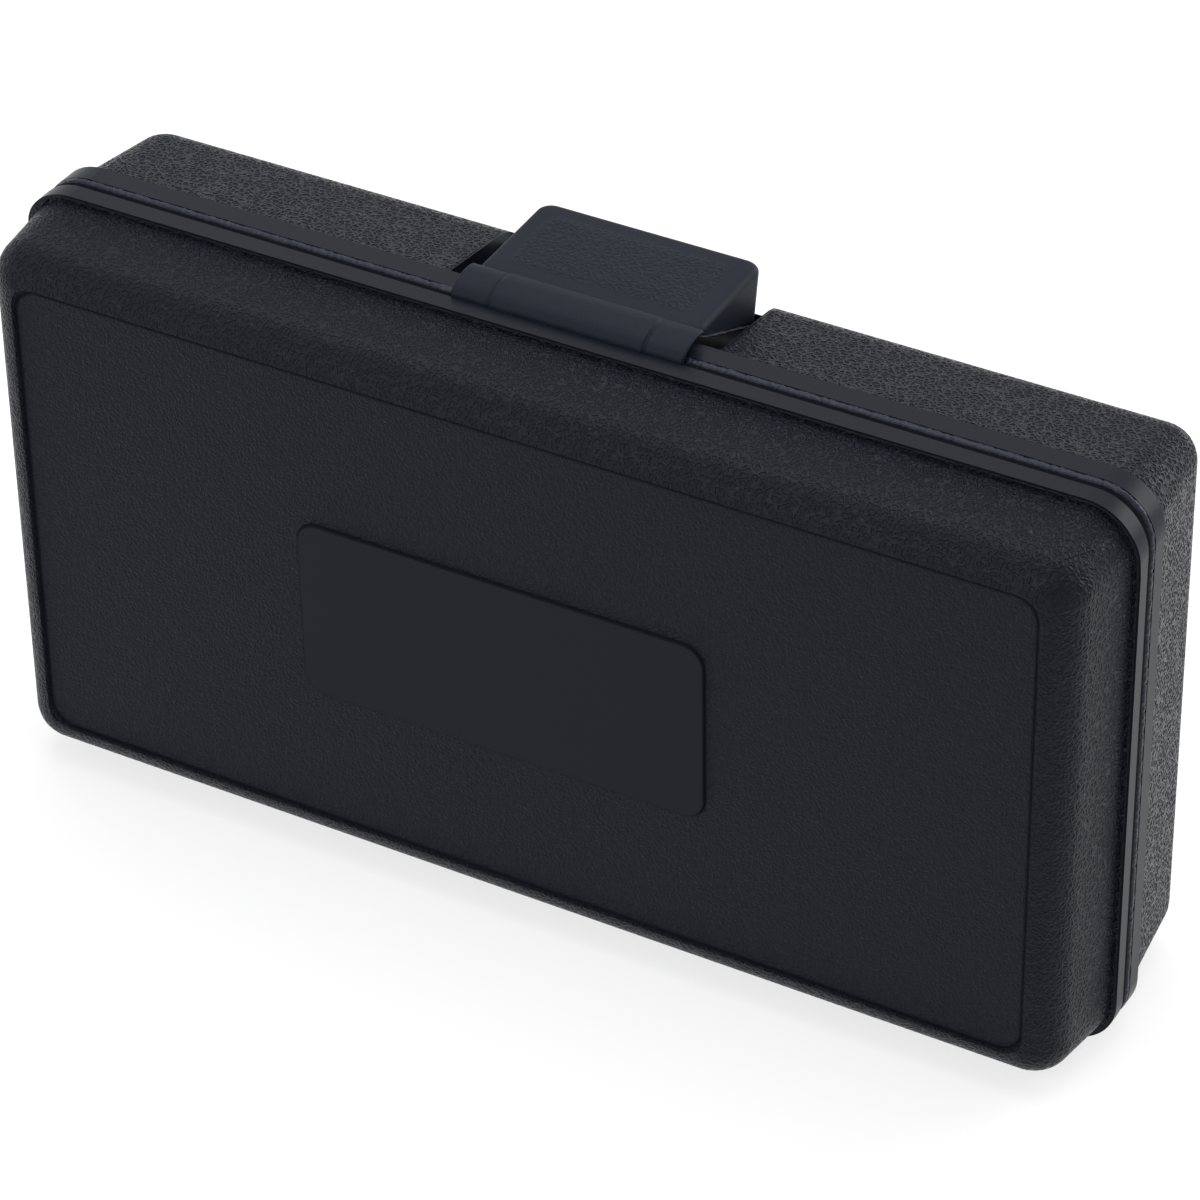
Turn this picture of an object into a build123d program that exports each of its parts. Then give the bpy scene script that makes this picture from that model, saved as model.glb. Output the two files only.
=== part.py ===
from build123d import *
import math
import os

# Small blow-moulded tool case, standing on its hinge edge with the latch on top.
# Frame: X runs along the long side, Y from the front to the back, Z up.
# The pieces are drawn with the parting plane at y = 0 and moved to the middle at the end.
# All sizes are in millimetres.

# Driving sizes of the closed case
CASE_W = 230.0
CASE_H = 120.0
LID_DEPTH = 24.6
BASE_DEPTH = 33.5
FOOT_LIFT = 0.5
CORNER_R = 10.5

# Moulded walls
SKIN = 1.6
INNER_SKIN = 1.4
DRAFT = 6.5
FACE_R = 8.0
BAND_STEP = 1.0
SEAM_GAP = 0.1

# Bands round the rim, each measured from the parting plane
LID_SIDE_BAND = 4.3
LID_TOP_BAND = 5.4
BASE_SIDE_BAND = 4.9
BASE_TOP_BAND = 6.0
BAND_BLEND = 9.0

# Pinched beads on the weld between the outer and inner skins
BEAD_INSET = 0.9
BASE_BEAD_ROUND = 0.6
LID_BEAD_ROUND = 0.3
BASE_BEAD_SINK = 0.1
LID_BEAD_SINK = 0.15

# Recessed front panel and its bare plate
PANEL_BORDER = 8.2
PANEL_DEPTH = 0.8
PANEL_R = 5.0
PANEL_SLOPE = 40.0
PLATE_W = 85.5
PLATE_H = 38.5
PLATE_X = -2.2
PLATE_Z = 58.8
PLATE_RISE = 0.6
PLATE_R = 4.5

# Living hinge under the case
HINGE_SPAN = 190.0
WEB_THICK = 0.4

# Low moulded ribs that let the case stand on its hinge edge
STAND_RIB_LEN = 178.0
STAND_RIB_W = 3.6
STAND_RIB_ROOT = 3.6
LID_RIB_Y = 11.0
BASE_RIB_Y = 20.0

# Latch: strap, hollow pad and the pocket that it drops into
PAD_W = 46.0
PAD_FRONT = 6.0
PAD_REAR_INSET = 2.5
PAD_RISE = 2.8
PAD_TILT = 1.0
PAD_SKIN = 1.4
PAD_WEB = 5.0
PAD_TOP_R = 1.6
PAD_SIDE_R = 2.4
PAD_LIP_DROP = 1.6
PAD_REAR_DEPTH = 8.4
NOSE_REAR_DEPTH = 3.3
NOSE_START = 8.0
STRAP_W = 48.0
STRAP_THICK = 0.95
STRAP_CREST = 3.3
STRAP_ROOT_DEPTH = 0.65
POCKET_X = -1.8
POCKET_SIDE_GAP = 5.2
POCKET_REAR_GAP = 0.6
POCKET_DEPTH = 11.8
POCKET_DRAFT = 4.0
POCKET_R = 2.0
RIM_DROP = 1.6
RIM_SOLID = 10.0
RIM_ROOT = 3.8
RIM_SIDE = 1.0
RIM_END = 1.5
CATCH_REACH = 0.8
CATCH_SLOPE = 0.07

# Inside: nests sunk in the base, a shallow dish in the lid
TRAY_MARGIN = 6.0
TRAY_DEPTH = 2.0
NEST_DRAFT = 4.0
NEST_FLOOR_CUT = 2.0
LONG_NEST_Z = 88.0
LONG_HEAD_DEPTH = 20.0
LONG_GRIP_DEPTH = 16.0
LONG_HEAD_R = 18.0
LONG_HEAD_X = -78.0
LONG_GRIP_W = 20.0
LONG_GRIP_END = 96.0
ROUND_NEST_Z = 38.0
ROUND_NEST_R = 11.0
ROUND_NEST_PITCH = 27.0
ROUND_NESTS = 7
ROUND_NEST_DEPTH = 23.0
DISH_MARGIN = 8.0
DISH_DEPTH = 9.0
DISH_DRAFT = 14.0
DISH_R = 3.0
RIB_W = 4.0
RIB_RISE = 5.0
RIB_COUNT = 4
RIB_PITCH = 46.0

# Places that follow from the sizes above
PART_Y = (LID_DEPTH - BASE_DEPTH) / 2
BOTTOM = FOOT_LIFT
TOP = BOTTOM + CASE_H
MID_Z = (BOTTOM + TOP) / 2
FLANGE_END = SEAM_GAP + INNER_SKIN
PAD_TOP = TOP + PAD_RISE
POCKET_FRONT = BASE_TOP_BAND + 0.1
PAD_REAR = BASE_DEPTH - PAD_REAR_INSET
POCKET_REAR = PAD_REAR + POCKET_REAR_GAP
POCKET_HALF = PAD_W / 2 + POCKET_SIDE_GAP
NEST_SLOPE = math.tan(math.radians(NEST_DRAFT))


def prism(inset, start, end, taper=0.0, round_face=0.0):
    """Rounded slab of the case outline, shrunk by inset, from depth start to depth end."""
    away = 1 if end > start else -1
    plane = Plane(origin=(0, start, MID_Z), x_dir=(1, 0, 0), z_dir=(0, away, 0))
    radius = max(CORNER_R - inset, 1.5)
    outline = plane * RectangleRounded(CASE_W - 2 * inset, CASE_H - 2 * inset, radius)
    slab = extrude(outline, amount=abs(end - start), taper=taper)
    if round_face > 0:
        slab = fillet(face_edges(slab, end), round_face)
    return slab


def face_edges(slab, y):
    """Edges of a slab that lie in the plane at depth y."""
    return slab.edges().filter_by_position(Axis.Y, y - 0.01, y + 0.01)


def wall_depth(side_band, top_band, away):
    """Slab along X whose far edge is the band's edge: wide on top, narrow at the sides."""
    corner = TOP - CORNER_R * 0.45
    with BuildPart() as cutter:
        with BuildSketch(Plane.YZ):
            with BuildLine():
                Polyline(
                    (away * FLANGE_END, BOTTOM - 5),
                    (away * side_band, BOTTOM - 5),
                    (away * side_band, corner - BAND_BLEND),
                    (away * top_band, corner),
                    (away * top_band, TOP + 5),
                    (away * FLANGE_END, TOP + 5),
                    close=True,
                )
            make_face()
        extrude(amount=CASE_W, both=True)
    return cutter.part


def outer_solid(depth, side_band, top_band, away):
    """Full outside shape of one shell: its band and its drafted, rounded body."""
    band = prism(0, away * FLANGE_END, away * (top_band + 1)) & wall_depth(side_band, top_band, away)
    body = prism(BAND_STEP, away * FLANGE_END, away * depth, DRAFT, FACE_R)
    return band + body


def hollow(depth, away):
    """Space inside one shell's outer skin."""
    inset = BAND_STEP + SKIN
    return prism(inset, away * (FLANGE_END - 1), away * (depth - SKIN), DRAFT, FACE_R - SKIN)


def stand_rib(y):
    """Rib under one shell that reaches from the surface it stands on up into the bottom wall."""
    rib = Box(STAND_RIB_LEN, STAND_RIB_W, STAND_RIB_ROOT, align=(Align.CENTER, Align.CENTER, Align.MIN))
    rib = chamfer(rib.edges().group_by(Axis.Z)[0], 0.6)
    return Pos(0, y, 0) * rib


def panel_cut(grow, depth):
    """Recess of the front panel, with its sides sloping inwards from the face."""
    plane = Plane(origin=(0, -LID_DEPTH, MID_Z), x_dir=(1, 0, 0), z_dir=(0, 1, 0))
    narrow = BAND_STEP + PANEL_BORDER
    width = CASE_W - 2 * narrow + 2 * grow
    height = CASE_H - 2 * narrow + 2 * grow
    outline = plane * RectangleRounded(width, height, PANEL_R + grow)
    return extrude(outline, amount=depth, taper=PANEL_SLOPE)


def make_lid_outer_skin():
    """Front shell: band, drafted walls, recessed panel and the bare raised plate."""
    space = hollow(LID_DEPTH, -1) - panel_cut(SKIN, PANEL_DEPTH + SKIN)
    shell = outer_solid(LID_DEPTH, LID_SIDE_BAND, LID_TOP_BAND, -1) - space
    shell -= panel_cut(0, PANEL_DEPTH)
    face = -LID_DEPTH + PANEL_DEPTH
    plane = Plane(origin=(PLATE_X, face + 0.2, PLATE_Z), x_dir=(1, 0, 0), z_dir=(0, -1, 0))
    plate = extrude(plane * RectangleRounded(PLATE_W, PLATE_H, PLATE_R), amount=PLATE_RISE + 0.2)
    plate = fillet(face_edges(plate, face - PLATE_RISE), PLATE_RISE / 2)
    shell += plate
    shell += stand_rib(-LID_RIB_Y)
    return shell


def pocket(grow, drop):
    """Latch pocket in the top wall of the base, narrowing as it goes down."""
    depth = POCKET_DEPTH + drop
    length = POCKET_REAR - POCKET_FRONT + 2 * grow
    middle = (POCKET_REAR + POCKET_FRONT) / 2
    plane = Plane(origin=(POCKET_X, middle, TOP), x_dir=(1, 0, 0), z_dir=(0, 0, -1))
    mouth = plane * RectangleRounded(2 * (POCKET_HALF + grow), length, POCKET_R + grow)
    hole = extrude(mouth, amount=depth, taper=POCKET_DRAFT)
    bottom = hole.edges().group_by(Axis.Z)[0]
    return fillet(bottom, 1.0)


def make_base_outer_skin():
    """Rear shell: band, drafted walls and the walled pocket for the latch."""
    whole = outer_solid(BASE_DEPTH, BASE_SIDE_BAND, BASE_TOP_BAND, 1)
    corner = Pos(POCKET_X, POCKET_REAR - RIM_ROOT, TOP)
    zone_w = 2 * (POCKET_HALF + RIM_SIDE)
    rim_zone = corner * Box(zone_w, BASE_DEPTH, 2 * RIM_SOLID, align=(Align.CENTER, Align.MIN, Align.CENTER))
    space = hollow(BASE_DEPTH, 1) - pocket(SKIN, SKIN) - rim_zone
    shell = whole - space - pocket(0, 0)
    rim_w = 2 * (POCKET_HALF - RIM_END)
    rim = corner * Box(rim_w, BASE_DEPTH, 2 * RIM_SOLID, align=(Align.CENTER, Align.MIN, Align.CENTER))
    rim -= Pos(0, -RIM_DROP / 2, -RIM_DROP) * whole
    shell -= rim
    shell += make_catch()
    shell += stand_rib(BASE_RIB_Y)
    return shell


def make_catch():
    """Ridge across the rear wall of the pocket that the latch's nose snaps under."""
    top = TOP - PAD_REAR_DEPTH - 0.3
    wall = POCKET_REAR - (TOP - top) * CATCH_SLOPE
    with BuildPart() as ridge:
        with BuildSketch(Plane.YZ):
            with BuildLine():
                Polyline(
                    (wall + 0.4, top - 2.4),
                    (wall + 0.4, top),
                    (wall - CATCH_REACH * 0.4, top - 0.2),
                    (wall - CATCH_REACH, top - 1.0),
                    (wall - CATCH_REACH * 0.4, top - 1.8),
                    close=True,
                )
            make_face()
        extrude(amount=PAD_W * 0.3, both=True)
    return ridge.part


def make_bead(away, sink, rounding):
    """Pinched bead round the rim; it stops along the hinge, and the lid's at the strap."""
    near = away * SEAM_GAP
    ring = prism(sink, near, away * FLANGE_END)
    ring = fillet(face_edges(ring, near), rounding)
    ring -= prism(BEAD_INSET, 0, away * (FLANGE_END + 1))
    ring -= Pos(0, 0, BOTTOM) * Box(HINGE_SPAN + 0.4, 9, 9)
    if away < 0:
        ring -= strap_slot()
    return ring


def strap_slot():
    """Break in the lid's bead on top of the rim, where the root of the strap sits."""
    root = Box(STRAP_W + 0.4, 3 * FLANGE_END, 4, align=(Align.CENTER, Align.CENTER, Align.MIN))
    return Pos(0, 0, TOP - STRAP_ROOT_DEPTH) * root


def round_nest(x, z, radius, depth):
    """Round drafted hollow in the tray, with its floor's edge cut at a slant."""
    narrow = radius - depth * NEST_SLOPE
    outline = Polyline(
        (0, 0),
        (radius, 0),
        (narrow + NEST_FLOOR_CUT * NEST_SLOPE, depth - NEST_FLOOR_CUT),
        (narrow - NEST_FLOOR_CUT, depth),
        (0, depth),
        close=True,
    )
    return Pos(x, SEAM_GAP + TRAY_DEPTH, z) * revolve(make_face(outline), Axis.Y)


def long_nest(grow):
    """Long hollow for a tool's grip, joined to a round one for its head."""
    middle = (LONG_GRIP_END + LONG_HEAD_X) / 2
    mouth = Plane(origin=(middle, SEAM_GAP + TRAY_DEPTH, LONG_NEST_Z), x_dir=(1, 0, 0), z_dir=(0, 1, 0))
    length = LONG_GRIP_END - LONG_HEAD_X + 2 * grow
    width = LONG_GRIP_W + 2 * grow
    shape = mouth * RectangleRounded(length, width, LONG_GRIP_W * 0.3 + grow)
    grip = extrude(shape, amount=LONG_GRIP_DEPTH + grow, taper=NEST_DRAFT)
    head = round_nest(LONG_HEAD_X, LONG_NEST_Z, LONG_HEAD_R + grow, LONG_HEAD_DEPTH + grow)
    return grip + head


def nests(grow):
    """All nests of the base as solids; grow makes them thicker by one wall."""
    found = long_nest(grow)
    first = -(ROUND_NESTS - 1) / 2
    for number in range(ROUND_NESTS):
        x = (first + number) * ROUND_NEST_PITCH
        found += round_nest(x, ROUND_NEST_Z, ROUND_NEST_R + grow, ROUND_NEST_DEPTH + grow)
    return found


def make_base_inner_skin():
    """Inner skin of the base: rim flange, shallow tray and the sunk nests."""
    skin = prism(BEAD_INSET, SEAM_GAP, FLANGE_END)
    skin += prism(TRAY_MARGIN - INNER_SKIN, SEAM_GAP, FLANGE_END + TRAY_DEPTH)
    skin += nests(INNER_SKIN)
    skin -= prism(TRAY_MARGIN, SEAM_GAP - 1, SEAM_GAP + TRAY_DEPTH)
    skin -= nests(0)
    return skin


def make_lid_inner_skin():
    """Inner skin of the lid: rim flange and a shallow dish with ribs that hold the tools down."""
    skin = prism(BEAD_INSET, -SEAM_GAP, -FLANGE_END)
    floor = SEAM_GAP + DISH_DEPTH
    dish = prism(DISH_MARGIN - INNER_SKIN, -SEAM_GAP, -floor - INNER_SKIN, DISH_DRAFT, DISH_R + INNER_SKIN)
    skin += dish
    space = prism(DISH_MARGIN, -SEAM_GAP, -floor, DISH_DRAFT, DISH_R)
    height = CASE_H - 2 * DISH_MARGIN - 2 * DISH_R - 10
    first = -(RIB_COUNT - 1) / 2
    for number in range(RIB_COUNT):
        plane = Plane(origin=(0, -floor - 0.2, MID_Z), x_dir=(1, 0, 0), z_dir=(0, 1, 0))
        outline = plane * Pos((first + number) * RIB_PITCH, 0) * RectangleRounded(RIB_W, height, 1.9)
        rib = extrude(outline, amount=RIB_RISE + 0.2, taper=8)
        space -= rib
    return skin - space


def make_hinge_web():
    """Living hinge: two roots on the rims and a thin strip that folds between them."""
    root_h = BEAD_INSET
    down = (Align.CENTER, Align.CENTER, Align.MAX)
    link = Pos(0, 0, BOTTOM) * Box(HINGE_SPAN, 2 * FLANGE_END, WEB_THICK, align=down)
    for away in (-1, 1):
        middle = away * (SEAM_GAP + FLANGE_END) / 2
        root = Box(HINGE_SPAN, INNER_SKIN, root_h, align=(Align.CENTER, Align.CENTER, Align.MIN))
        link += Pos(0, middle, BOTTOM) * root
    return link


def pad_profile():
    """Side view of the latch pad as a face in the YZ plane."""
    points = [
        (PAD_FRONT, PAD_TOP - 0.6),
        (PAD_FRONT + 1.2, PAD_TOP),
        (PAD_REAR, PAD_TOP + PAD_TILT),
        (PAD_REAR, TOP - NOSE_REAR_DEPTH),
        (PAD_FRONT, PAD_TOP - PAD_LIP_DROP),
    ]
    return make_face(Plane.YZ * Polyline(*points, close=True))


def make_latch_upper_skin():
    """Upper skin of the pad, rounded at its top and open underneath."""
    block = extrude(pad_profile(), amount=PAD_W / 2, both=True)
    corners = block.edges().filter_by(Axis.Z).group_by(Axis.Y)[-1]
    block = fillet(corners, PAD_SIDE_R)
    top_face = block.faces().sort_by(Axis.Z)[-1]
    rims = top_face.edges().filter_by_position(Axis.Y, PAD_FRONT + 1.5, PAD_REAR + 1)
    block = fillet(rims, PAD_TOP_R)
    space = extrude(pad_space(), amount=PAD_W / 2 - PAD_SKIN, both=True)
    return block - space


def underside(y):
    """Height of the pinch line along the pad's side, which sinks towards the rear."""
    slope = (PAD_RISE - PAD_LIP_DROP + NOSE_REAR_DEPTH) / (PAD_REAR - PAD_FRONT)
    return PAD_TOP - PAD_LIP_DROP - slope * (y - PAD_FRONT)


def pad_space():
    """Side view of the hollow under the pad's upper skin."""
    points = [
        (PAD_FRONT + PAD_WEB, TOP - 9),
        (PAD_FRONT + PAD_WEB, PAD_TOP - PAD_SKIN),
        (PAD_REAR - PAD_SKIN, PAD_TOP + PAD_TILT - PAD_SKIN),
        (PAD_REAR - PAD_SKIN, TOP - 9),
    ]
    return make_face(Plane.YZ * Polyline(*points, close=True))


def make_latch_lower_skin():
    """Lower skin of the pad, closing the hollow inside the upper skin's skirt."""
    front = PAD_FRONT + PAD_WEB
    rear = PAD_REAR - PAD_SKIN
    high = underside(front) + 0.1
    low = underside(rear) + 0.1
    points = [(front, high), (rear, low), (rear, low + PAD_SKIN), (front, high + PAD_SKIN * 0.6)]
    side = make_face(Plane.YZ * Polyline(*points, close=True))
    return extrude(side, amount=PAD_W / 2 - PAD_SKIN, both=True)


def make_latch_snap_lip():
    """Thin flexible skirt under the pad, deepest at the rear, that snaps past the catch."""
    points = [
        (NOSE_START, underside(NOSE_START)),
        (PAD_REAR, underside(PAD_REAR)),
        (PAD_REAR - 0.6, TOP - PAD_REAR_DEPTH + 0.8),
        (PAD_REAR - 3.0, TOP - PAD_REAR_DEPTH),
    ]
    side = make_face(Plane.YZ * Polyline(*points, close=True))
    block = extrude(side, amount=PAD_W / 2, both=True)
    inner = [
        (NOSE_START - 1, TOP + 3),
        (NOSE_START - 1, TOP - 12),
        (PAD_REAR - PAD_SKIN, TOP - 12),
        (PAD_REAR - PAD_SKIN, TOP + 3),
    ]
    opening = make_face(Plane.YZ * Polyline(*inner, close=True))
    space = extrude(opening, amount=PAD_W / 2 - PAD_SKIN, both=True)
    return block - space


def make_latch_strap():
    """Thin sheet rolled over the seam, from its slot in the lid's rim to the front of the pad."""
    root = -FLANGE_END + STRAP_THICK / 2
    joint_z = PAD_TOP - PAD_LIP_DROP / 2 - 0.3
    crest = TOP + STRAP_CREST - STRAP_THICK / 2
    stem = Line((root, TOP - STRAP_ROOT_DEPTH), (root, TOP + 0.3))
    roll = ThreePointArc((root, TOP + 0.3), (1.6, crest), (PAD_FRONT - 1.0, joint_z + 0.2))
    tail = Line((PAD_FRONT - 1.0, joint_z + 0.2), (PAD_FRONT, joint_z))
    sheet = Plane.YZ * trace(stem + roll + tail, STRAP_THICK)
    band = extrude(sheet, amount=STRAP_W / 2, both=True)
    return band - Pos(0, PAD_FRONT, TOP) * Box(STRAP_W, 4, 12, align=(Align.CENTER, Align.MIN, Align.CENTER))


def main():
    """Build every piece, move the parting plane to its place and write one file for each."""
    os.makedirs("parts", exist_ok=True)
    nodes = {
        "lid_outer_skin": make_lid_outer_skin(),
        "lid_inner_skin": make_lid_inner_skin(),
        "lid_seam_bead": make_bead(-1, LID_BEAD_SINK, LID_BEAD_ROUND),
        "base_outer_skin": make_base_outer_skin(),
        "base_inner_skin": make_base_inner_skin(),
        "base_seam_bead": make_bead(1, BASE_BEAD_SINK, BASE_BEAD_ROUND),
        "hinge_web": make_hinge_web(),
        "latch_strap": make_latch_strap(),
        "latch_upper_skin": make_latch_upper_skin(),
        "latch_lower_skin": make_latch_lower_skin(),
        "latch_snap_lip": make_latch_snap_lip(),
    }
    for name, shape in nodes.items():
        export_step(Pos(0, PART_Y, 0) * shape, f"parts/{name}.step")
        print(name, len(shape.solids()), round(shape.volume, 1))


if __name__ == "__main__":
    main()
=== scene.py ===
import math

import bmesh
import bpy
import numpy as np
from mathutils import Matrix, Vector


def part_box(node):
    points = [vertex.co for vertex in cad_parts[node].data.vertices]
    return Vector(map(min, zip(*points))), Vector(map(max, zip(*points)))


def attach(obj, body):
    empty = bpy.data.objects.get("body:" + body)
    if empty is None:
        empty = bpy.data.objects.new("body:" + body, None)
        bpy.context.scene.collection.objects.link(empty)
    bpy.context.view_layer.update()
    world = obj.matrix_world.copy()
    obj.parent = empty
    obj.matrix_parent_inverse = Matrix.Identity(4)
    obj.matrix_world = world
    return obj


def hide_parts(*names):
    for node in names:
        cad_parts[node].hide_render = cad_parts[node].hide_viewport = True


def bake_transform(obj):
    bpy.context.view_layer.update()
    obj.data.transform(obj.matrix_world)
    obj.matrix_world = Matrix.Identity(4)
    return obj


bl_info = {
    "name": "Moulded Tool Case",
    "version": (1, 0, 0),
    "blender": (4, 5, 0),
    "location": "View3D > Sidebar > Tool Case",
    "description": "Dresses the blow-moulded tool case with its grain, seam bead, latch and stage",
    "category": "Object",
}

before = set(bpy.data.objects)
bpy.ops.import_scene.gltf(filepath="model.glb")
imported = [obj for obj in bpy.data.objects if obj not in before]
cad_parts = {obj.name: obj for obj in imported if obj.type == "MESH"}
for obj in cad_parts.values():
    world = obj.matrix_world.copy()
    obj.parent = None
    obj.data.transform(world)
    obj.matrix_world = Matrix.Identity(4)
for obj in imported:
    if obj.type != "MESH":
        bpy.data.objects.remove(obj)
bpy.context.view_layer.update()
MM = 0.001


def node_box(name):
    """Lowest and highest corner of a CAD node, as arrays in millimetres."""
    low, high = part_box(name)
    return np.array(low) / MM, np.array(high) / MM


LID_HIGH = node_box("lid_outer_skin")[1]
BEAD_LOW = node_box("base_seam_bead")[0]
NOSE_LOW = node_box("latch_snap_lip")[0]
WEB_LOW, WEB_HIGH = node_box("hinge_web")
PAD_LOW, PAD_HIGH = node_box("latch_upper_skin")
STRAP_LOW, STRAP_HIGH = node_box("latch_strap")

# Places worked out from the frame, in millimetres: X to the right, Y to the rear, Z up
SEAM_Y = (WEB_LOW[1] + WEB_HIGH[1]) / 2
BOTTOM = BEAD_LOW[2] - 0.1  # the CAD bead lies this far inside the rim's outline
TOP = LID_HIGH[2]
MIDDLE_Z = (BOTTOM + TOP) / 2
HALF_W = LID_HIGH[0]
HALF_H = (TOP - BOTTOM) / 2
PAD_MIDDLE = (PAD_LOW[1] + PAD_HIGH[1]) / 2
PAD_HALF_X = PAD_HIGH[0]
PAD_HALF_Y = (PAD_HIGH[1] - PAD_LOW[1]) / 2

# Sizes that the solids have, in millimetres
CORNER_R = 10.5
PANEL_BORDER = 9.9
PANEL_HALF = (HALF_W - PANEL_BORDER, HALF_H - PANEL_BORDER)
PANEL_R = 5.0
PLATE_CENTRE = (-2.2, 58.8)
PLATE_HALF = (42.75, 19.25)
PLATE_R = 4.5
POCKET_CENTRE = (-1.8, PAD_MIDDLE + 0.35)
POCKET_HALF = (28.4, 12.9)
POCKET_R = 2.0
PAD_CORNER = 2.6
PAD_FRONT_LIP = 2.6
STRAP_THICK = 0.95
WEB_THICK = 0.4

# The grain's masks, in millimetres: how softly each one fades, and how far past its edge it reaches
WALL_MASK = (0.3, -0.6)
PANEL_MASK = (0.5, 0.0)
PLATE_MASK = (0.3, 0.1)
POCKET_MASK = (0.4, 0.0)
PANEL_SINK = (1.4, 0.3)
PANEL_FOOT = (0.5, 0.5)
PLATE_FOOT = (0.3, 0.3)
CREASE_MASK = (0.5, 0.25)

# Changes of roughness: the grain's as a slope by its height and the value in its pits
LID_PITS = (-0.3, 0.25)
BASE_PITS = (-0.45, 0.4)
FOOT_CHANGE = 0.45
BAND_CHANGE = -0.04
PANEL_CHANGE = 0.08

# The strap's two creases: their distance from the middle, in millimetres, and their depth
CREASE_X = 16.0
CREASE_HEIGHT = -3.0

# Low specular level of the plastic, because all its surroundings are white
SATIN_GLOSS = 0.11
BEAD_GLOSS = 0.18
# The lid's fine bead: almost no gloss, as part of its painted shade
GAP_SHADE_GLOSS = 0.03

# The stage: metres, watts, and the view that was fitted to the case's outline
FLOOR_HALF = 3.0
FLOOR_COLOUR = 0xB0B0B0
FLOOR_ROUGH = 0.9
FLOOR_CLEAR = 0.72
SURROUND_LIGHT = 0.35
LAMP_AIM = (0, 0, 0.06)
LAMPS = (
    ("over_lamp", (-0.1, 0.2, 1.3), 1.1, 9.0),
    ("rear_lamp", (0.7, 1.2, 0.5), 0.8, 9.0),
    ("front_lamp", (-0.4, -1.5, 0.8), 1.2, 7.5),
)
SENSOR_WIDTH = 36.0
LENS = 156.6
VIEW = {
    "azimuth": 30.12, "elevation": 35.71, "roll": -0.978,
    "distance": 1005.07, "shift": (3.887, 48.38),
}


def noise(values, wave, seed):
    """Smooth wandering value: six sines, the k-th of wavelength wave / k ** 1.3 and height
    1 / sqrt(k), each with a fixed random phase, added and divided by 2.5."""
    source = np.random.default_rng(seed)
    total = np.zeros_like(values)
    for octave in range(1, 7):
        step = wave / octave ** 1.3
        total += np.sin(2 * math.pi * values / step + source.uniform(0, 6.28)) / octave ** 0.5
    return total / 2.5


def make_object(name, points, material, wrap_u=False, wrap_v=False):
    """Mesh through a grid of points in millimetres; coinciding points at poles are joined."""
    rows, columns = points.shape[:2]
    index = np.arange(rows * columns).reshape(rows, columns)
    if wrap_u:
        index = np.vstack([index, index[:1]])
    if wrap_v:
        index = np.hstack([index, index[:, :1]])
    faces = np.stack([index[:-1, :-1], index[1:, :-1], index[1:, 1:], index[:-1, 1:]], axis=-1)
    mesh = bpy.data.meshes.new(name)
    mesh.from_pydata((points.reshape(-1, 3) * MM).tolist(), [], faces.reshape(-1, 4).tolist())
    work = bmesh.new()
    work.from_mesh(mesh)
    bmesh.ops.remove_doubles(work, verts=work.verts, dist=2e-7)
    bmesh.ops.dissolve_degenerate(work, edges=work.edges, dist=1e-8)
    bmesh.ops.recalc_face_normals(work, faces=work.faces)
    work.to_mesh(mesh)
    work.free()
    mesh.polygons.foreach_set("use_smooth", [True] * len(mesh.polygons))
    mesh.materials.append(material)
    made = bpy.data.objects.new(name, mesh)
    bpy.context.scene.collection.objects.link(made)
    return made


def dress(name, material):
    """Gives a CAD node a material in place of its plain one."""
    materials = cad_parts[name].data.materials
    materials.clear()
    materials.append(material)


def linear(colour):
    """Linear red, green, blue and alpha of a colour written as an sRGB hex number."""
    parts = [(colour >> shift & 255) / 255 for shift in (16, 8, 0)]
    return [p / 12.92 if p <= 0.04045 else ((p + 0.055) / 1.055) ** 2.4 for p in parts] + [1.0]


def add_node(tree, kind, inputs=None, **settings):
    """Node of one kind with its settings; inputs are values or the sockets to link from."""
    made = tree.nodes.new(kind)
    for key, value in settings.items():
        setattr(made, key, value)
    for key, value in (inputs or {}).items():
        if isinstance(value, bpy.types.NodeSocket):
            tree.links.new(value, made.inputs[key])
        else:
            made.inputs[key].default_value = value
    return made


def maths(tree, operation, first, second=0.0, third=0.0, clamp=False):
    """Output of one maths node."""
    values = {0: first, 1: second, 2: third}
    made = add_node(tree, "ShaderNodeMath", values, operation=operation, use_clamp=clamp)
    return made.outputs[0]


def outline_distance(tree, place, axes, centre, half, radius):
    """Distance from a rounded rectangle in the plane of two axes, in millimetres, negative inside:
    the length of what lies past the corner circles' centres, less the corner's radius."""
    parts = add_node(tree, "ShaderNodeSeparateXYZ", {0: place})
    beyond = []
    for axis, middle, size in zip(axes, centre, half):
        away = maths(tree, "ABSOLUTE", maths(tree, "SUBTRACT", parts.outputs[axis], middle))
        beyond.append(maths(tree, "SUBTRACT", away, size - radius))
    outer = [maths(tree, "MAXIMUM", value, 0.0) for value in beyond]
    squares = [maths(tree, "MULTIPLY", value, value) for value in outer]
    corner = maths(tree, "SQRT", maths(tree, "ADD", squares[0], squares[1]))
    inner = maths(tree, "MINIMUM", maths(tree, "MAXIMUM", beyond[0], beyond[1]), 0.0)
    return maths(tree, "SUBTRACT", maths(tree, "ADD", corner, inner), radius)


def inside(tree, distance, soft, reach=0.0):
    """Mask that is 1 where a distance is under reach and fades to 0 over soft millimetres."""
    step = maths(tree, "DIVIDE", maths(tree, "SUBTRACT", reach, distance), soft)
    return maths(tree, "ADD", step, 0.5, clamp=True)


def scaled_place(tree, place, scale):
    """Place multiplied by a scale."""
    values = {0: place, "Scale": scale}
    return add_node(tree, "ShaderNodeVectorMath", values, operation="SCALE").outputs[0]


def place_mm(tree):
    """Object coordinates in millimetres."""
    return scaled_place(tree, add_node(tree, "ShaderNodeTexCoord").outputs["Object"], 1 / MM)


def texture_noise(tree, place, scale, detail):
    """Noise texture at a place."""
    return add_node(tree, "ShaderNodeTexNoise", {"Vector": place, "Scale": scale, "Detail": detail})


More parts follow.
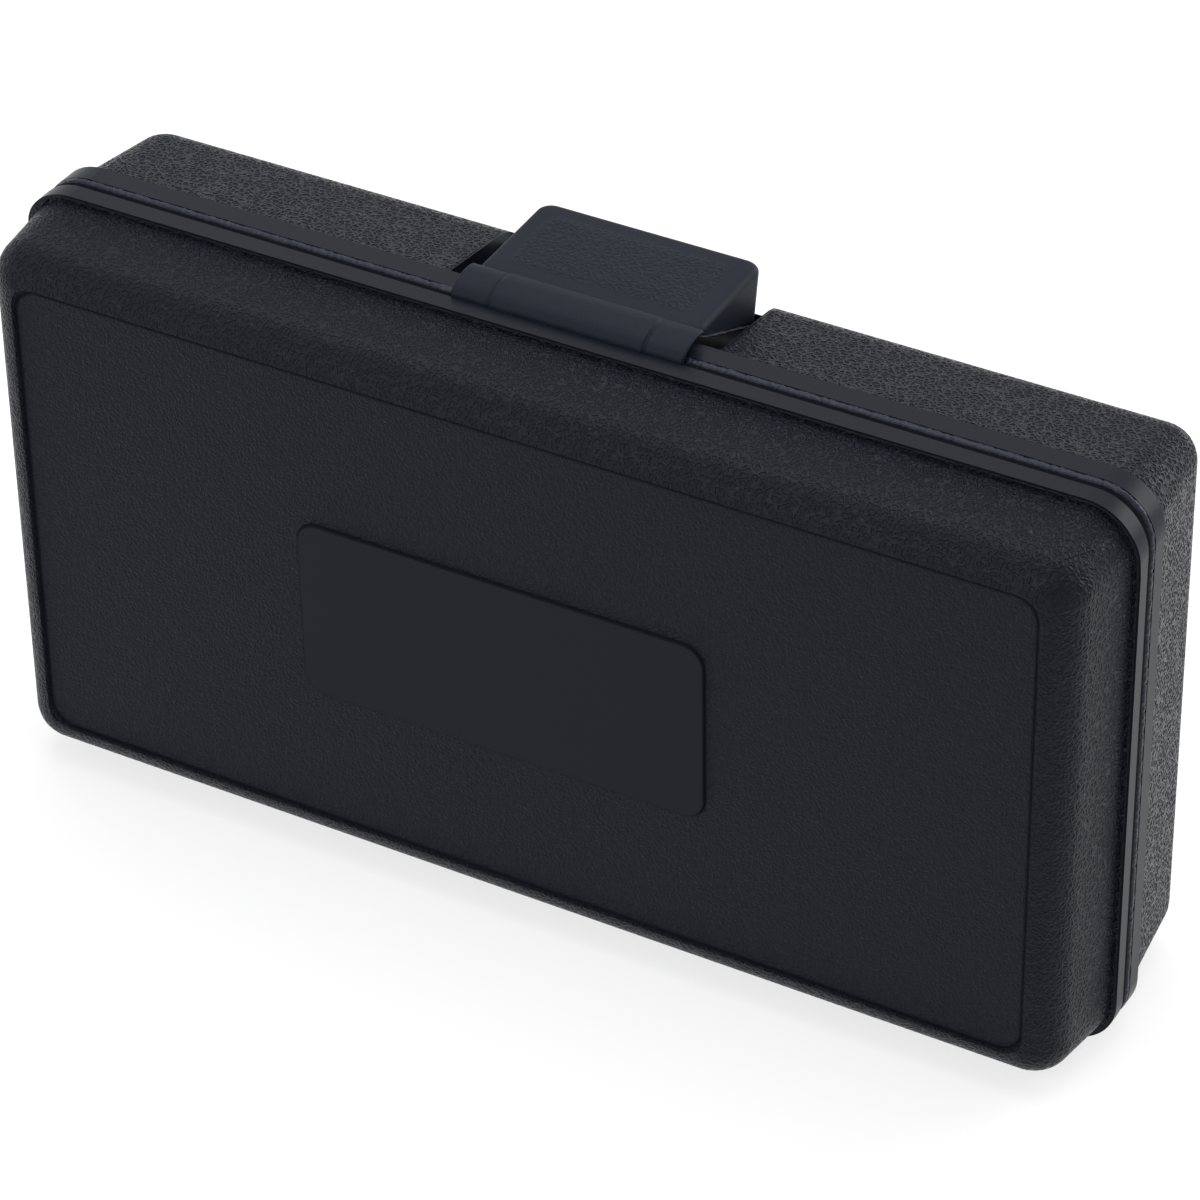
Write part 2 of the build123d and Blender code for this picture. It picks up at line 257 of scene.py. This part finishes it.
def grain_height(tree, place, scale, seed):
    """Height of the moulded grain: a raised net round soft pits, scale pits to the millimetre.
    The net is 1 where the edge of a Voronoi cell is near and falls to 0 in the cell, its cells are
    bent by a slow noise, and a fine noise adds wrinkles."""
    net_edge, pit_edge = 0.04, 0.26
    bend_scale, bend_size = 0.8, 0.7
    wrinkle_scale, wrinkle_share = 2.6, 0.3
    scaled = scaled_place(tree, place, scale)
    slow = texture_noise(tree, scaled, bend_scale, 0.0).outputs["Color"]
    bend = scaled_place(tree, slow, bend_size)
    moves = {0: scaled, 1: bend, 2: (seed, seed * 2, seed * 3)}
    bent = add_node(tree, "ShaderNodeVectorMath", moves, operation="ADD").outputs[0]
    values = {"Vector": bent, "Scale": 1.0}
    cells = add_node(tree, "ShaderNodeTexVoronoi", values, feature="DISTANCE_TO_EDGE")
    fall = {
        "Value": cells.outputs["Distance"], "From Min": net_edge, "From Max": pit_edge,
        "To Min": 1.0, "To Max": 0.0,
    }
    net = add_node(tree, "ShaderNodeMapRange", fall, interpolation_type="SMOOTHSTEP").outputs[0]
    wrinkles = texture_noise(tree, scaled, wrinkle_scale, 1.0).outputs["Fac"]
    return maths(tree, "MULTIPLY_ADD", wrinkles, wrinkle_share, net)


def polyethylene(name, colour, rough, depth_mm, height_of, gloss=SATIN_GLOSS):
    """Blow-moulded polyethylene, dark right through, with a broad soft sheen. height_of(tree,
    place) gives a height as a share of depth_mm, and a change of roughness or None."""
    material = bpy.data.materials.new(name)
    material.use_nodes = True
    tree = material.node_tree
    shader = tree.nodes["Principled BSDF"]
    shader.inputs["Base Color"].default_value = linear(colour)
    shader.inputs["Roughness"].default_value = rough
    shader.inputs["Specular IOR Level"].default_value = gloss
    height, change = height_of(tree, place_mm(tree))
    relief = {"Strength": 1.0, "Distance": depth_mm * MM, "Height": height}
    bump = add_node(tree, "ShaderNodeBump", relief)
    tree.links.new(bump.outputs[0], shader.inputs["Normal"])
    if change is not None:
        tree.links.new(maths(tree, "ADD", change, rough), shader.inputs["Roughness"])
    return material


def case_distance(tree, place):
    """Distance from the case's outline seen from the front, in millimetres, negative inside."""
    return outline_distance(
        tree, place, (0, 2), (0, MIDDLE_Z), (HALF_W, HALF_H), CORNER_R)


def lid_surface(sizes):
    """Surface of the front shell: coarse grain on walls and border, fine on the sunk panel, none
    on band and plate."""
    sink_height = -0.6

    def height_of(tree, place):
        panel = outline_distance(tree, place, (0, 2), (0, MIDDLE_Z), PANEL_HALF, PANEL_R)
        plate = outline_distance(tree, place, (0, 2), PLATE_CENTRE, PLATE_HALF, PLATE_R)
        walls = inside(tree, case_distance(tree, place), *WALL_MASK)
        on_panel = inside(tree, panel, *PANEL_MASK)
        on_plate = inside(tree, plate, *PLATE_MASK)
        border = maths(tree, "SUBTRACT", walls, on_panel, clamp=True)
        border = maths(tree, "MULTIPLY", border, sizes.lid_share)
        field = maths(tree, "SUBTRACT", on_panel, on_plate, clamp=True)
        extra = 1.0 / sizes.panel_pitch - 1.0 / sizes.grain_pitch
        scale = maths(tree, "MULTIPLY_ADD", on_panel, extra, 1.0 / sizes.grain_pitch)
        strength = maths(tree, "ADD", border, maths(tree, "MULTIPLY", field, sizes.panel_share))
        grain = grain_height(tree, place, scale, 3.0)
        sunk = inside(tree, panel, *PANEL_SINK)
        height = maths(tree, "MULTIPLY", grain, strength)
        height = maths(tree, "MULTIPLY_ADD", sunk, sink_height, height)
        # The grain's pits and the foot of the panel's and the plate's edges are dull
        panel_foot = inside(tree, maths(tree, "ABSOLUTE", panel), *PANEL_FOOT)
        plate_foot = inside(tree, maths(tree, "ABSOLUTE", plate), *PLATE_FOOT)
        feet = maths(tree, "MAXIMUM", panel_foot, plate_foot)
        change = maths(tree, "MULTIPLY", maths(tree, "MULTIPLY_ADD", grain, *LID_PITS), border)
        change = maths(tree, "MULTIPLY_ADD", feet, FOOT_CHANGE, change)
        band = maths(tree, "SUBTRACT", 1.0, walls)
        change = maths(tree, "MULTIPLY_ADD", band, BAND_CHANGE, change)
        return height, maths(tree, "MULTIPLY_ADD", on_panel, PANEL_CHANGE, change)

    return height_of


def base_surface(sizes):
    """Surface of the rear shell: coarse grain on its walls, none on the band or in the pocket."""

    def height_of(tree, place):
        pocket = outline_distance(tree, place, (0, 1), POCKET_CENTRE, POCKET_HALF, POCKET_R)
        walls = inside(tree, case_distance(tree, place), *WALL_MASK)
        walls = maths(tree, "SUBTRACT", walls, inside(tree, pocket, *POCKET_MASK), clamp=True)
        grain = grain_height(tree, place, 1.0 / sizes.grain_pitch, 3.0)
        # The net's tops are rubbed smooth and its pits are dull
        change = maths(tree, "MULTIPLY", maths(tree, "MULTIPLY_ADD", grain, *BASE_PITS), walls)
        band = maths(tree, "SUBTRACT", 1.0, walls)
        change = maths(tree, "MULTIPLY_ADD", band, BAND_CHANGE, change)
        return maths(tree, "MULTIPLY", grain, walls), change

    return height_of


def pad_surface(sizes):
    """Surface of the latch pad: soft grain inside a smooth margin."""
    margin, corner, fade = 4.5, 2.0, 1.5
    stretch, share = 0.9, 0.3
    half = (PAD_HALF_X - margin, PAD_HALF_Y - margin)

    def height_of(tree, place):
        field = outline_distance(tree, place, (0, 1), (0, PAD_MIDDLE), half, corner)
        grain = grain_height(tree, place, stretch / sizes.grain_pitch, 5.0)
        height = maths(tree, "MULTIPLY", grain, inside(tree, field, fade))
        return maths(tree, "MULTIPLY", height, share), None

    return height_of


def plain_surface(pitch, share):
    """Nearly smooth moulded surface with a faint wave, pitch millimetres long."""

    def height_of(tree, place):
        wave = texture_noise(tree, scaled_place(tree, place, 1.0 / pitch), 1.0, 3.0)
        return maths(tree, "MULTIPLY", wave.outputs["Fac"], share), None

    return height_of


def strap_surface(tree, place):
    """Surface of the strap: a faint wave, fine speckle and a shallow crease near each end."""
    waves_per_mm, specks_per_mm, speck_share = 0.4, 2.2, 0.35
    wave = texture_noise(tree, scaled_place(tree, place, waves_per_mm), 1.0, 3.0).outputs["Fac"]
    speck = texture_noise(tree, scaled_place(tree, place, specks_per_mm), 1.0, 1.0).outputs["Fac"]
    across = add_node(tree, "ShaderNodeSeparateXYZ", {0: place}).outputs[0]
    off_crease = maths(tree, "SUBTRACT", maths(tree, "ABSOLUTE", across), CREASE_X)
    crease = inside(tree, maths(tree, "ABSOLUTE", off_crease), *CREASE_MASK)
    rough = maths(tree, "MULTIPLY_ADD", speck, speck_share, wave)
    return maths(tree, "MULTIPLY_ADD", crease, CREASE_HEIGHT, rough), None


def unit_rows(vectors):
    """Rows divided by their lengths."""
    return vectors / np.linalg.norm(vectors, axis=1)[:, None]


def corner_arc(centre, radius, first, last, count):
    """Points on a circle between two angles in degrees: centre + radius (cos, sin)."""
    turn = np.radians(np.linspace(first, last, count))
    return np.array(centre) + radius * np.column_stack([np.cos(turn), np.sin(turn)])


def evenly_spaced(line, count, endpoint=True):
    """Points at equal steps of length along a line of points, and their distances along it."""
    steps = np.linalg.norm(np.diff(line, axis=0), axis=1)
    lengths = np.concatenate([[0], np.cumsum(steps)])
    along = np.linspace(0, lengths[-1], count, endpoint=endpoint)
    return np.column_stack([np.interp(along, lengths, line[:, k]) for k in (0, 1)]), along


def outline_path(inset, count):
    """Points along the rim, inset from its outline, from the hinge's left end, up, across and
    down to its right end, and their distances along it: straight runs and quarter circles."""
    radius = CORNER_R - inset
    half_w = HALF_W - inset
    half_h = HALF_H - inset
    start = WEB_HIGH[0] + 0.3
    pieces = [np.array([[-start, -half_h]])]
    corners = [(-1, -1, 270, 180), (-1, 1, 180, 90), (1, 1, 90, 0), (1, -1, 0, -90)]
    for side, level, first, last in corners:
        centre = (side * (half_w - radius), level * (half_h - radius))
        pieces.append(corner_arc(centre, radius, first, last, 25))
    pieces.append(np.array([[start, -half_h]]))
    return evenly_spaced(np.vstack(pieces), count)


def seam_bead_points(sizes):
    """Tube along the rim: its radius is a mean radius times one plus a wandering value. It is
    thicker at the strap's left end, falls to zero at both ends, and its side towards the outline
    is cut off."""
    inset, behind_seam, cover = 0.78, 1.05, 0.03
    taper = 1.2
    nub_gap, nub_half, nub_swell = 1.6, 1.5, 0.3
    ripple, wander = 0.12, 0.12
    deepening = 1.25
    path, along = outline_path(inset, 1500)
    ahead = unit_rows(np.gradient(path, axis=0))
    outward = np.column_stack([-ahead[:, 1], ahead[:, 0]])
    turn = np.linspace(0, 2 * math.pi, 12, endpoint=False)
    ends = np.clip(np.minimum(along, along[-1] - along) / taper, 0, 1) ** 0.5
    rough = 1 + sizes.bead_rough * noise(along, 5.0, 11)
    from_nub = (path[:, 0] - STRAP_LOW[0] + nub_gap) / nub_half
    nub = np.exp(-from_nub ** 4) * (path[:, 1] > 0)
    radius = sizes.bead_radius * rough * ends * (1 + nub_swell * nub)
    swell = 1 + ripple * noise(along[:, None] + turn[None, :] * 0.7, 1.7, 4)
    reach = radius[:, None] * swell
    side = np.minimum(reach * np.cos(turn)[None, :], inset - cover)
    depth = reach * np.sin(turn)[None, :] * deepening
    drift = wander * noise(along, 9.0, 23)[:, None]
    points = np.zeros((len(path), len(turn), 3))
    points[..., 0] = path[:, :1] + outward[:, :1] * side
    points[..., 2] = MIDDLE_Z + path[:, 1:] + outward[:, 1:] * side
    points[..., 1] = SEAM_Y + behind_seam + drift + depth
    return points


def underside(y):
    """Height of the pad's pinch line at depth y: a straight line that sinks towards the rear and
    lifts over its last stretch."""
    rear = PAD_HIGH[1]
    lift_length, lift = 3.0, 0.7
    depths = [PAD_LOW[1], rear - lift_length, rear]
    return np.interp(y, depths, [PAD_HIGH[2] - PAD_FRONT_LIP, NOSE_LOW[2], NOSE_LOW[2] + lift])


def pad_outline(count):
    """Top view of the pad as a closed loop: a rectangle whose corners are quarter circles."""
    loop = []
    for side, level, first in ((1, 1, 0), (-1, 1, 90), (-1, -1, 180), (1, -1, 270)):
        centre = (side * (PAD_HALF_X - PAD_CORNER), level * (PAD_HALF_Y - PAD_CORNER))
        loop.append(corner_arc(centre, PAD_CORNER, first, first + 90, 14))
    return evenly_spaced(np.vstack(loop + [loop[0][:1]]), count, endpoint=False)


def rear_lean(outline, sizes):
    """How far the pad's foot lies in front of its top edge: the lean times the square of the
    place's share of the way from the middle to the rear."""
    return sizes.pad_lean * np.clip(outline[:, 1] / PAD_HALF_Y, 0, 1) ** 2


def pad_points(sizes):
    """Closed skin of the pad: rings shrink to a pole on the tilted, crowned top, turn over a
    rounded edge, go down to the sinking pinch line while the rear leans forward, and shrink to a
    pole underneath."""
    below_box, crown, hollow = 0.1, 0.25, 0.15
    outline = pad_outline(240)[0]
    edge = sizes.pad_edge
    rings = []

    def top_at(y):
        return PAD_HIGH[2] - below_box - sizes.pad_tilt * (PAD_HIGH[1] - y) / (2 * PAD_HALF_Y)

    for share in np.linspace(0, 1, 16):
        x = outline[:, 0] * share * (1 - edge / PAD_HALF_X)
        y = PAD_MIDDLE + outline[:, 1] * share * (1 - edge / PAD_HALF_Y)
        rings.append(np.column_stack([x, y, top_at(y) - crown * share ** 2]))
    inner = rings[-1][:, :2]
    outer = np.column_stack([outline[:, 0], PAD_MIDDLE + outline[:, 1]])
    thick = top_at(outer[:, 1]) - underside(outer[:, 1])
    for angle in np.radians(np.linspace(0, 90, 8)[1:]):
        flat = inner + (outer - inner) * math.sin(angle)
        drop = np.minimum(edge, thick * 0.5) * (1 - math.cos(angle))
        rings.append(np.column_stack([flat, top_at(flat[:, 1]) - crown - drop]))
    shoulder = rings[-1][:, 2]
    lean = rear_lean(outline, sizes)
    for share in np.linspace(0, 1, 12)[1:]:
        y = outer[:, 1] - lean * share
        sunk = shoulder + (underside(outer[:, 1] - lean) - shoulder) * share
        rings.append(np.column_stack([outer[:, 0], y, sunk]))
    foot = rings[-1]
    for share in np.linspace(1, 0, 10)[1:]:
        y = PAD_MIDDLE + (foot[:, 1] - PAD_MIDDLE) * share
        rings.append(np.column_stack([foot[:, 0] * share, y, underside(y) + hollow]))
    return np.stack(rings)


def pinch_line_points(sizes):
    """Thin rough tube along the pad's pinch line: its radius is a mean radius times one plus two
    sines that go round the loop a whole number of times."""
    mean_radius, roughness = 0.26, 0.25
    widening, stand_out, depth_share = 1.7, 0.15, 0.5
    outline, along = pad_outline(700)
    turn = np.linspace(0, 2 * math.pi, 8, endpoint=False)
    round_once = 2 * math.pi * along / (along[-1] + along[1])
    wave = np.sin(round_once * 17 + 1) + np.sin(round_once * 41 + 2)
    radius = mean_radius * (1 + roughness * wave)
    outward = unit_rows(outline)
    y = PAD_MIDDLE + outline[:, 1] - rear_lean(outline, sizes)
    reach = radius[:, None] * np.cos(turn)[None, :] * widening + stand_out
    points = np.zeros((len(outline), len(turn), 3))
    points[..., 0] = outline[:, :1] + outward[:, :1] * reach
    points[..., 1] = y[:, None] + outward[:, 1:] * reach * depth_share
    points[..., 2] = underside(y)[:, None] + radius[:, None] * np.sin(turn)[None, :]
    return points


def sheet_points(path, width, thickness, columns, bulge=None):
    """Sheet swept along X: a path in the YZ plane thickened both ways. Its thickness falls as a
    half circle to a line at both ends of X, where the columns crowd, and bulge(x) adds to its
    front."""
    crowding = 1.6
    ahead = unit_rows(np.gradient(path, axis=0))
    normal = np.column_stack([-ahead[:, 1], ahead[:, 0]])
    across = np.linspace(-1, 1, columns)
    x = np.sign(across) * (1 - (1 - np.abs(across)) ** crowding) * width / 2
    round_r = thickness / 2
    near_end = np.clip((np.abs(x) - (width / 2 - round_r)) / round_r, 0, 1)
    share = np.sqrt(1 - near_end ** 2)
    back = thickness / 2 * share
    front = back + bulge(x) * share if bulge else back
    there = np.arange(len(path))
    loop = np.concatenate([there, there[::-1]])
    reach = np.hstack([
        np.repeat(front[:, None], len(path), axis=1), np.repeat(-back[:, None], len(path), axis=1)])
    points = np.zeros((columns, len(loop), 3))
    points[..., 0] = x[:, None]
    points[..., 1:] = path[loop] + normal[loop] * reach[..., None]
    return points


def strap_path():
    """Side view of the strap: straight up out of its slot, then part of an ellipse over the seam,
    whose last part sags as the square of the angle."""
    root_y = STRAP_LOW[1] + STRAP_THICK / 2
    end_y = PAD_LOW[1] + 0.6  # this far inside the pad
    spring = TOP + 0.2
    crest = STRAP_HIGH[2] - 0.55
    sag, sag_from, sag_span = 0.5, 1.1, 0.43
    turn = np.radians(np.linspace(0, 88, 28))
    across = root_y + (end_y - root_y) * (1 - np.cos(turn))
    arc = np.column_stack([across, spring + (crest - spring) * np.sin(turn)])
    arc[:, 1] -= sag * np.clip((turn - sag_from) / sag_span, 0, 1) ** 2
    stem = np.column_stack([np.full(4, root_y), np.linspace(TOP - 0.6, TOP + 0.1, 4)])
    return np.vstack([stem, arc])


def strap_bulge(x):
    """Extra thickness of the strap's middle part: a constant that falls to zero over a smooth
    step at both creases."""
    height, step = 0.16, 0.2
    return height / (1 + np.exp((np.abs(x) - CREASE_X) / step))


def web_path():
    """Side view of the living hinge: half an ellipse that joins the two rims from below."""
    reach, root_z, dip = 0.9, 0.85, 0.53
    turn = np.radians(np.linspace(0, 180, 25))
    return np.column_stack([SEAM_Y - reach * np.cos(turn), root_z - dip * np.sin(turn)])


class CaseSizes(bpy.types.PropertyGroup):
    """Sizes of the dressed surfaces, in millimetres unless said."""

    grain_pitch: bpy.props.FloatProperty(
        name="Grain Pitch", description="Distance between pits of the coarse grain, mm",
        default=1.12, min=0.3, max=4.0)
    grain_depth: bpy.props.FloatProperty(
        name="Grain Depth", description="Height of the coarse grain, mm",
        default=0.65, min=0.0, max=1.0)
    lid_share: bpy.props.FloatProperty(
        name="Lid Grain Share", description="Lid grain height as a share of the base's",
        default=0.58, min=0.0, max=1.0, subtype="FACTOR")
    panel_pitch: bpy.props.FloatProperty(
        name="Panel Grain Pitch", description="Distance between pits on the panel, mm",
        default=1.0, min=0.2, max=4.0)
    panel_share: bpy.props.FloatProperty(
        name="Panel Grain Share", description="Panel grain height as a share of the base's",
        default=0.23, min=0.0, max=1.0, subtype="FACTOR")
    bead_radius: bpy.props.FloatProperty(
        name="Bead Radius", description="Mean radius of the seam bead, mm",
        default=0.76, min=0.2, max=1.2)
    bead_rough: bpy.props.FloatProperty(
        name="Bead Roughness", description="How much the seam bead's radius wanders, as a share",
        default=0.16, min=0.0, max=0.5, subtype="FACTOR")
    pad_tilt: bpy.props.FloatProperty(
        name="Pad Tilt", description="Rise of the pad's top from front to rear, mm",
        default=1.0, min=0.0, max=3.0)
    pad_lean: bpy.props.FloatProperty(
        name="Pad Lean", description="How far the pad's rear leans forward at its foot, mm",
        default=2.4, min=0.0, max=4.0)
    pad_edge: bpy.props.FloatProperty(
        name="Pad Edge", description="Rounding of the latch pad's top edge, mm",
        default=1.5, min=0.2, max=3.0)


class CaseLooks(bpy.types.PropertyGroup):
    """Colours and finish of the moulded plastic, and the painted shade of the lid's fine bead."""

    shell: bpy.props.IntProperty(
        name="Shell", description="Colour of the shells as an sRGB hex number",
        default=0x181B25, min=0, max=0xFFFFFF)
    latch: bpy.props.IntProperty(
        name="Latch", description="Colour of latch and hinge as an sRGB hex number",
        default=0x1B1F2A, min=0, max=0xFFFFFF)
    bead: bpy.props.IntProperty(
        name="Bead", description="Colour of the rough seam bead as an sRGB hex number",
        default=0x232836, min=0, max=0xFFFFFF)
    # Painted shade: the lid's fine bead is coloured almost black to stand for the shadow between
    # the shells
    gap: bpy.props.IntProperty(
        name="Painted Gap Shade",
        description="Colour of the lid's fine bead, deep in the gap, as an sRGB hex number",
        default=0x0D0E12, min=0, max=0xFFFFFF)
    shell_rough: bpy.props.FloatProperty(
        name="Shell Roughness", description="Roughness of the grained plastic",
        default=0.36, min=0.0, max=1.0, subtype="FACTOR")
    latch_rough: bpy.props.FloatProperty(
        name="Latch Roughness", description="Roughness of the smooth plastic",
        default=0.52, min=0.0, max=1.0, subtype="FACTOR")


class CASE_OT_shells(bpy.types.Operator):
    """Gives both shells their moulded plastic, inside and out."""

    bl_idname = "case.shells"
    bl_label = "Dress Shells"

    def execute(self, context):
        sizes = context.scene.case_sizes
        looks = context.scene.case_looks
        finish = (looks.shell, looks.shell_rough, sizes.grain_depth)
        # Leather grain: small highlights on the net's tops, dull pits, and smooth brighter bands
        dress("lid_outer_skin", polyethylene(
            "grained_polyethylene_lid", *finish, lid_surface(sizes)))
        dress("base_outer_skin", polyethylene(
            "grained_polyethylene_base", *finish, base_surface(sizes)))
        # Walls that were blown against a plain mould: an even satin with a faint wave
        inside_skin = polyethylene(
            "smooth_polyethylene_inside", looks.shell, rough=0.45, depth_mm=0.1,
            height_of=plain_surface(pitch=4.0, share=0.5))
        dress("lid_inner_skin", inside_skin)
        dress("base_inner_skin", inside_skin)
        return {"FINISHED"}


class CASE_OT_beads(bpy.types.Operator):
    """Makes the rough pinched bead of the seam and dresses the lid's fine one in a painted shade.
    """

    bl_idname = "case.beads"
    bl_label = "Make Seam Beads"

    def execute(self, context):
        sizes = context.scene.case_sizes
        looks = context.scene.case_looks
        # Torn where the mould pinched it off: glints on a lumpy bead
        lumps = plain_surface(pitch=0.7, share=1.0)
        material = polyethylene(
            "pinched_polyethylene_seam", looks.bead, rough=0.27, depth_mm=0.16, height_of=lumps,
            gloss=BEAD_GLOSS)
        bead = make_object("seam_bead", seam_bead_points(sizes), material, wrap_v=True)
        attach(bead, "base")
        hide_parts("base_seam_bead")
        # Painted shade: the lid's fine bead lies deep in the gap and is coloured almost black and
        # made dull to stand for the shadow there
        dress("lid_seam_bead", polyethylene(
            "fine_seam_painted_shade", looks.gap, rough=0.8, depth_mm=0.12, height_of=lumps,
            gloss=GAP_SHADE_GLOSS))
        return {"FINISHED"}


class CASE_OT_latch(bpy.types.Operator):
    """Makes the latch's pad, its pinch line and its bent strap."""

    bl_idname = "case.latch"
    bl_label = "Make Latch"

    def execute(self, context):
        sizes = context.scene.case_sizes
        looks = context.scene.case_looks
        finish = (looks.latch, looks.latch_rough)
        # Softly grained satin, bluer and a little lighter than the shells
        soft = polyethylene(
            "satin_polyethylene_pad", *finish, sizes.grain_depth, pad_surface(sizes))
        # Stretched thin and nearly smooth, with the speckle of a bent sheet
        smooth = polyethylene(
            "satin_polyethylene_strap", *finish, depth_mm=0.12, height_of=strap_surface)
        pad = make_object("latch_pad", pad_points(sizes), soft, wrap_v=True)
        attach(pad, "latch")
        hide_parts("latch_upper_skin", "latch_lower_skin", "latch_snap_lip")
        points = pinch_line_points(sizes)
        line = make_object("latch_pinch_line", points, smooth, wrap_u=True, wrap_v=True)
        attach(line, "latch")
        width = STRAP_HIGH[0] - STRAP_LOW[0]
        points = sheet_points(strap_path(), width, STRAP_THICK, 81, strap_bulge)
        strap = make_object("strap_sheet", points, smooth, wrap_v=True)
        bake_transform(strap)
        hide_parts("latch_strap")
        return {"FINISHED"}


class CASE_OT_hinge(bpy.types.Operator):
    """Makes the living hinge as a sheet that bends between the base and the lid."""

    bl_idname = "case.hinge"
    bl_label = "Make Living Hinge"

    def execute(self, context):
        looks = context.scene.case_looks
        # Pressed thin between the mould's halves: smooth satin
        smooth = polyethylene(
            "pressed_polyethylene_hinge", looks.latch, looks.latch_rough, depth_mm=0.1,
            height_of=plain_surface(pitch=2.5, share=0.5))
        points = sheet_points(web_path(), WEB_HIGH[0] - WEB_LOW[0], WEB_THICK, 41)
        web = make_object("hinge_sheet", points, smooth, wrap_v=True)
        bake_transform(web)
        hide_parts("hinge_web")
        return {"FINISHED"}


def look_through(camera, azimuth, elevation, roll, distance, shift):
    """Places the camera: it looks from a turn and a height, rolled about its view, all in degrees,
    at the foot of the seam, and is moved right and up by shift. Lengths are in millimetres."""
    a, e, r = (math.radians(v) for v in (azimuth, elevation, roll))
    back = Vector((math.sin(a) * math.cos(e), -math.cos(a) * math.cos(e), math.sin(e)))
    right = Vector((math.cos(a), math.sin(a), 0))
    up = back.cross(right)
    right, up = right * math.cos(r) + up * math.sin(r), up * math.cos(r) - right * math.sin(r)
    origin = Vector((0, SEAM_Y, BOTTOM)) * MM
    place = origin + back * distance * MM + right * shift[0] * MM + up * shift[1] * MM
    turned = Matrix((right, up, back)).transposed().to_4x4()
    camera.matrix_world = Matrix.Translation(place) @ turned


def soft_lamp(name, place, size, power):
    """Square area lamp that faces the case."""
    light = bpy.data.lights.new(name, "AREA")
    light.shape = "SQUARE"
    light.size = size
    light.energy = power
    lamp = bpy.data.objects.new(name, light)
    bpy.context.scene.collection.objects.link(lamp)
    lamp.location = place
    aim = Vector(LAMP_AIM) - Vector(place)
    lamp.rotation_euler = aim.to_track_quat("-Z", "Y").to_euler()
    return lamp


def background_rays(tree):
    """1 for the rays that see the background: the camera's, reflected and transmitted ones."""
    path = add_node(tree, "ShaderNodeLightPath").outputs
    seen = maths(tree, "ADD", path["Is Camera Ray"], path["Is Glossy Ray"])
    return maths(tree, "ADD", seen, path["Is Transmission Ray"], clamp=True)


def pale_floor():
    """Matt pale floor, one square. Part of what is behind it is added to its own colour: the
    white surroundings, so that it ends without an edge, and a lid that hangs below it."""
    mesh = bpy.data.meshes.new("floor")
    corners = [(-1, -1), (1, -1), (1, 1), (-1, 1)]
    mesh.from_pydata([(x * FLOOR_HALF, y * FLOOR_HALF, 0) for x, y in corners], [], [(0, 1, 2, 3)])
    material = bpy.data.materials.new("matt_pale_floor")
    material.use_nodes = True
    tree = material.node_tree
    shader = tree.nodes["Principled BSDF"]
    shader.inputs["Roughness"].default_value = FLOOR_ROUGH
    shader.inputs["Base Color"].default_value = linear(FLOOR_COLOUR)
    through = maths(tree, "MULTIPLY", background_rays(tree), FLOOR_CLEAR)
    clear = add_node(tree, "ShaderNodeBsdfTransparent", {"Color": through})
    both = add_node(tree, "ShaderNodeAddShader", {0: shader.outputs[0], 1: clear.outputs[0]})
    tree.links.new(both.outputs[0], tree.nodes["Material Output"].inputs["Surface"])
    mesh.materials.append(material)
    floor = bpy.data.objects.new("floor", mesh)
    bpy.context.scene.collection.objects.link(floor)
    return floor


def white_surroundings():
    """White world: full strength for the rays that see it, and a low even light on the case."""
    world = bpy.data.worlds.new("surroundings")
    world.use_nodes = True
    tree = world.node_tree
    rays = background_rays(tree)
    strength = maths(tree, "MULTIPLY_ADD", rays, 1 - SURROUND_LIGHT, SURROUND_LIGHT)
    tree.links.new(strength, tree.nodes["Background"].inputs["Strength"])
    tree.nodes["Background"].inputs["Color"].default_value = (1, 1, 1, 1)
    return world


class CASE_OT_stage(bpy.types.Operator):
    """Adds the pale floor, the soft lamps, the white surroundings and the camera."""

    bl_idname = "case.stage"
    bl_label = "Add Stage"

    def execute(self, context):
        scene = context.scene
        scene.view_settings.view_transform = "Standard"
        pale_floor()
        lamps = [soft_lamp(*values) for values in LAMPS]
        scene.world = white_surroundings()
        view = bpy.data.cameras.new("camera")
        view.sensor_width = SENSOR_WIDTH
        view.lens = LENS
        camera = bpy.data.objects.new("camera", view)
        scene.collection.objects.link(camera)
        look_through(camera, **VIEW)
        scene.camera = camera
        return {"FINISHED"}


class CASE_PT_panel(bpy.types.Panel):
    """Lists the steps and the values that they use."""

    bl_label = "Tool Case"
    bl_idname = "CASE_PT_panel"
    bl_space_type = "VIEW_3D"
    bl_region_type = "UI"
    bl_category = "Tool Case"

    def draw(self, context):
        for group in (context.scene.case_sizes, context.scene.case_looks):
            for key in group.bl_rna.properties.keys():
                if key not in ("rna_type", "name"):
                    self.layout.prop(group, key)
        for step in STEPS:
            self.layout.operator(step.bl_idname)


STEPS = (CASE_OT_shells, CASE_OT_beads, CASE_OT_latch, CASE_OT_hinge, CASE_OT_stage)
CLASSES = (CaseSizes, CaseLooks) + STEPS + (CASE_PT_panel,)


def register():
    """Registers the classes and hangs the two groups of values on the scene."""
    for each in CLASSES:
        bpy.utils.register_class(each)
    bpy.types.Scene.case_sizes = bpy.props.PointerProperty(type=CaseSizes)
    bpy.types.Scene.case_looks = bpy.props.PointerProperty(type=CaseLooks)


def unregister():
    """Takes the groups and classes away again."""
    del bpy.types.Scene.case_looks
    del bpy.types.Scene.case_sizes
    for each in reversed(CLASSES):
        bpy.utils.unregister_class(each)


def main():
    """Runs every step in order."""
    register()
    bpy.ops.case.shells()
    bpy.ops.case.beads()
    bpy.ops.case.latch()
    bpy.ops.case.hinge()
    bpy.ops.case.stage()


if __name__ == "__main__":
    main()
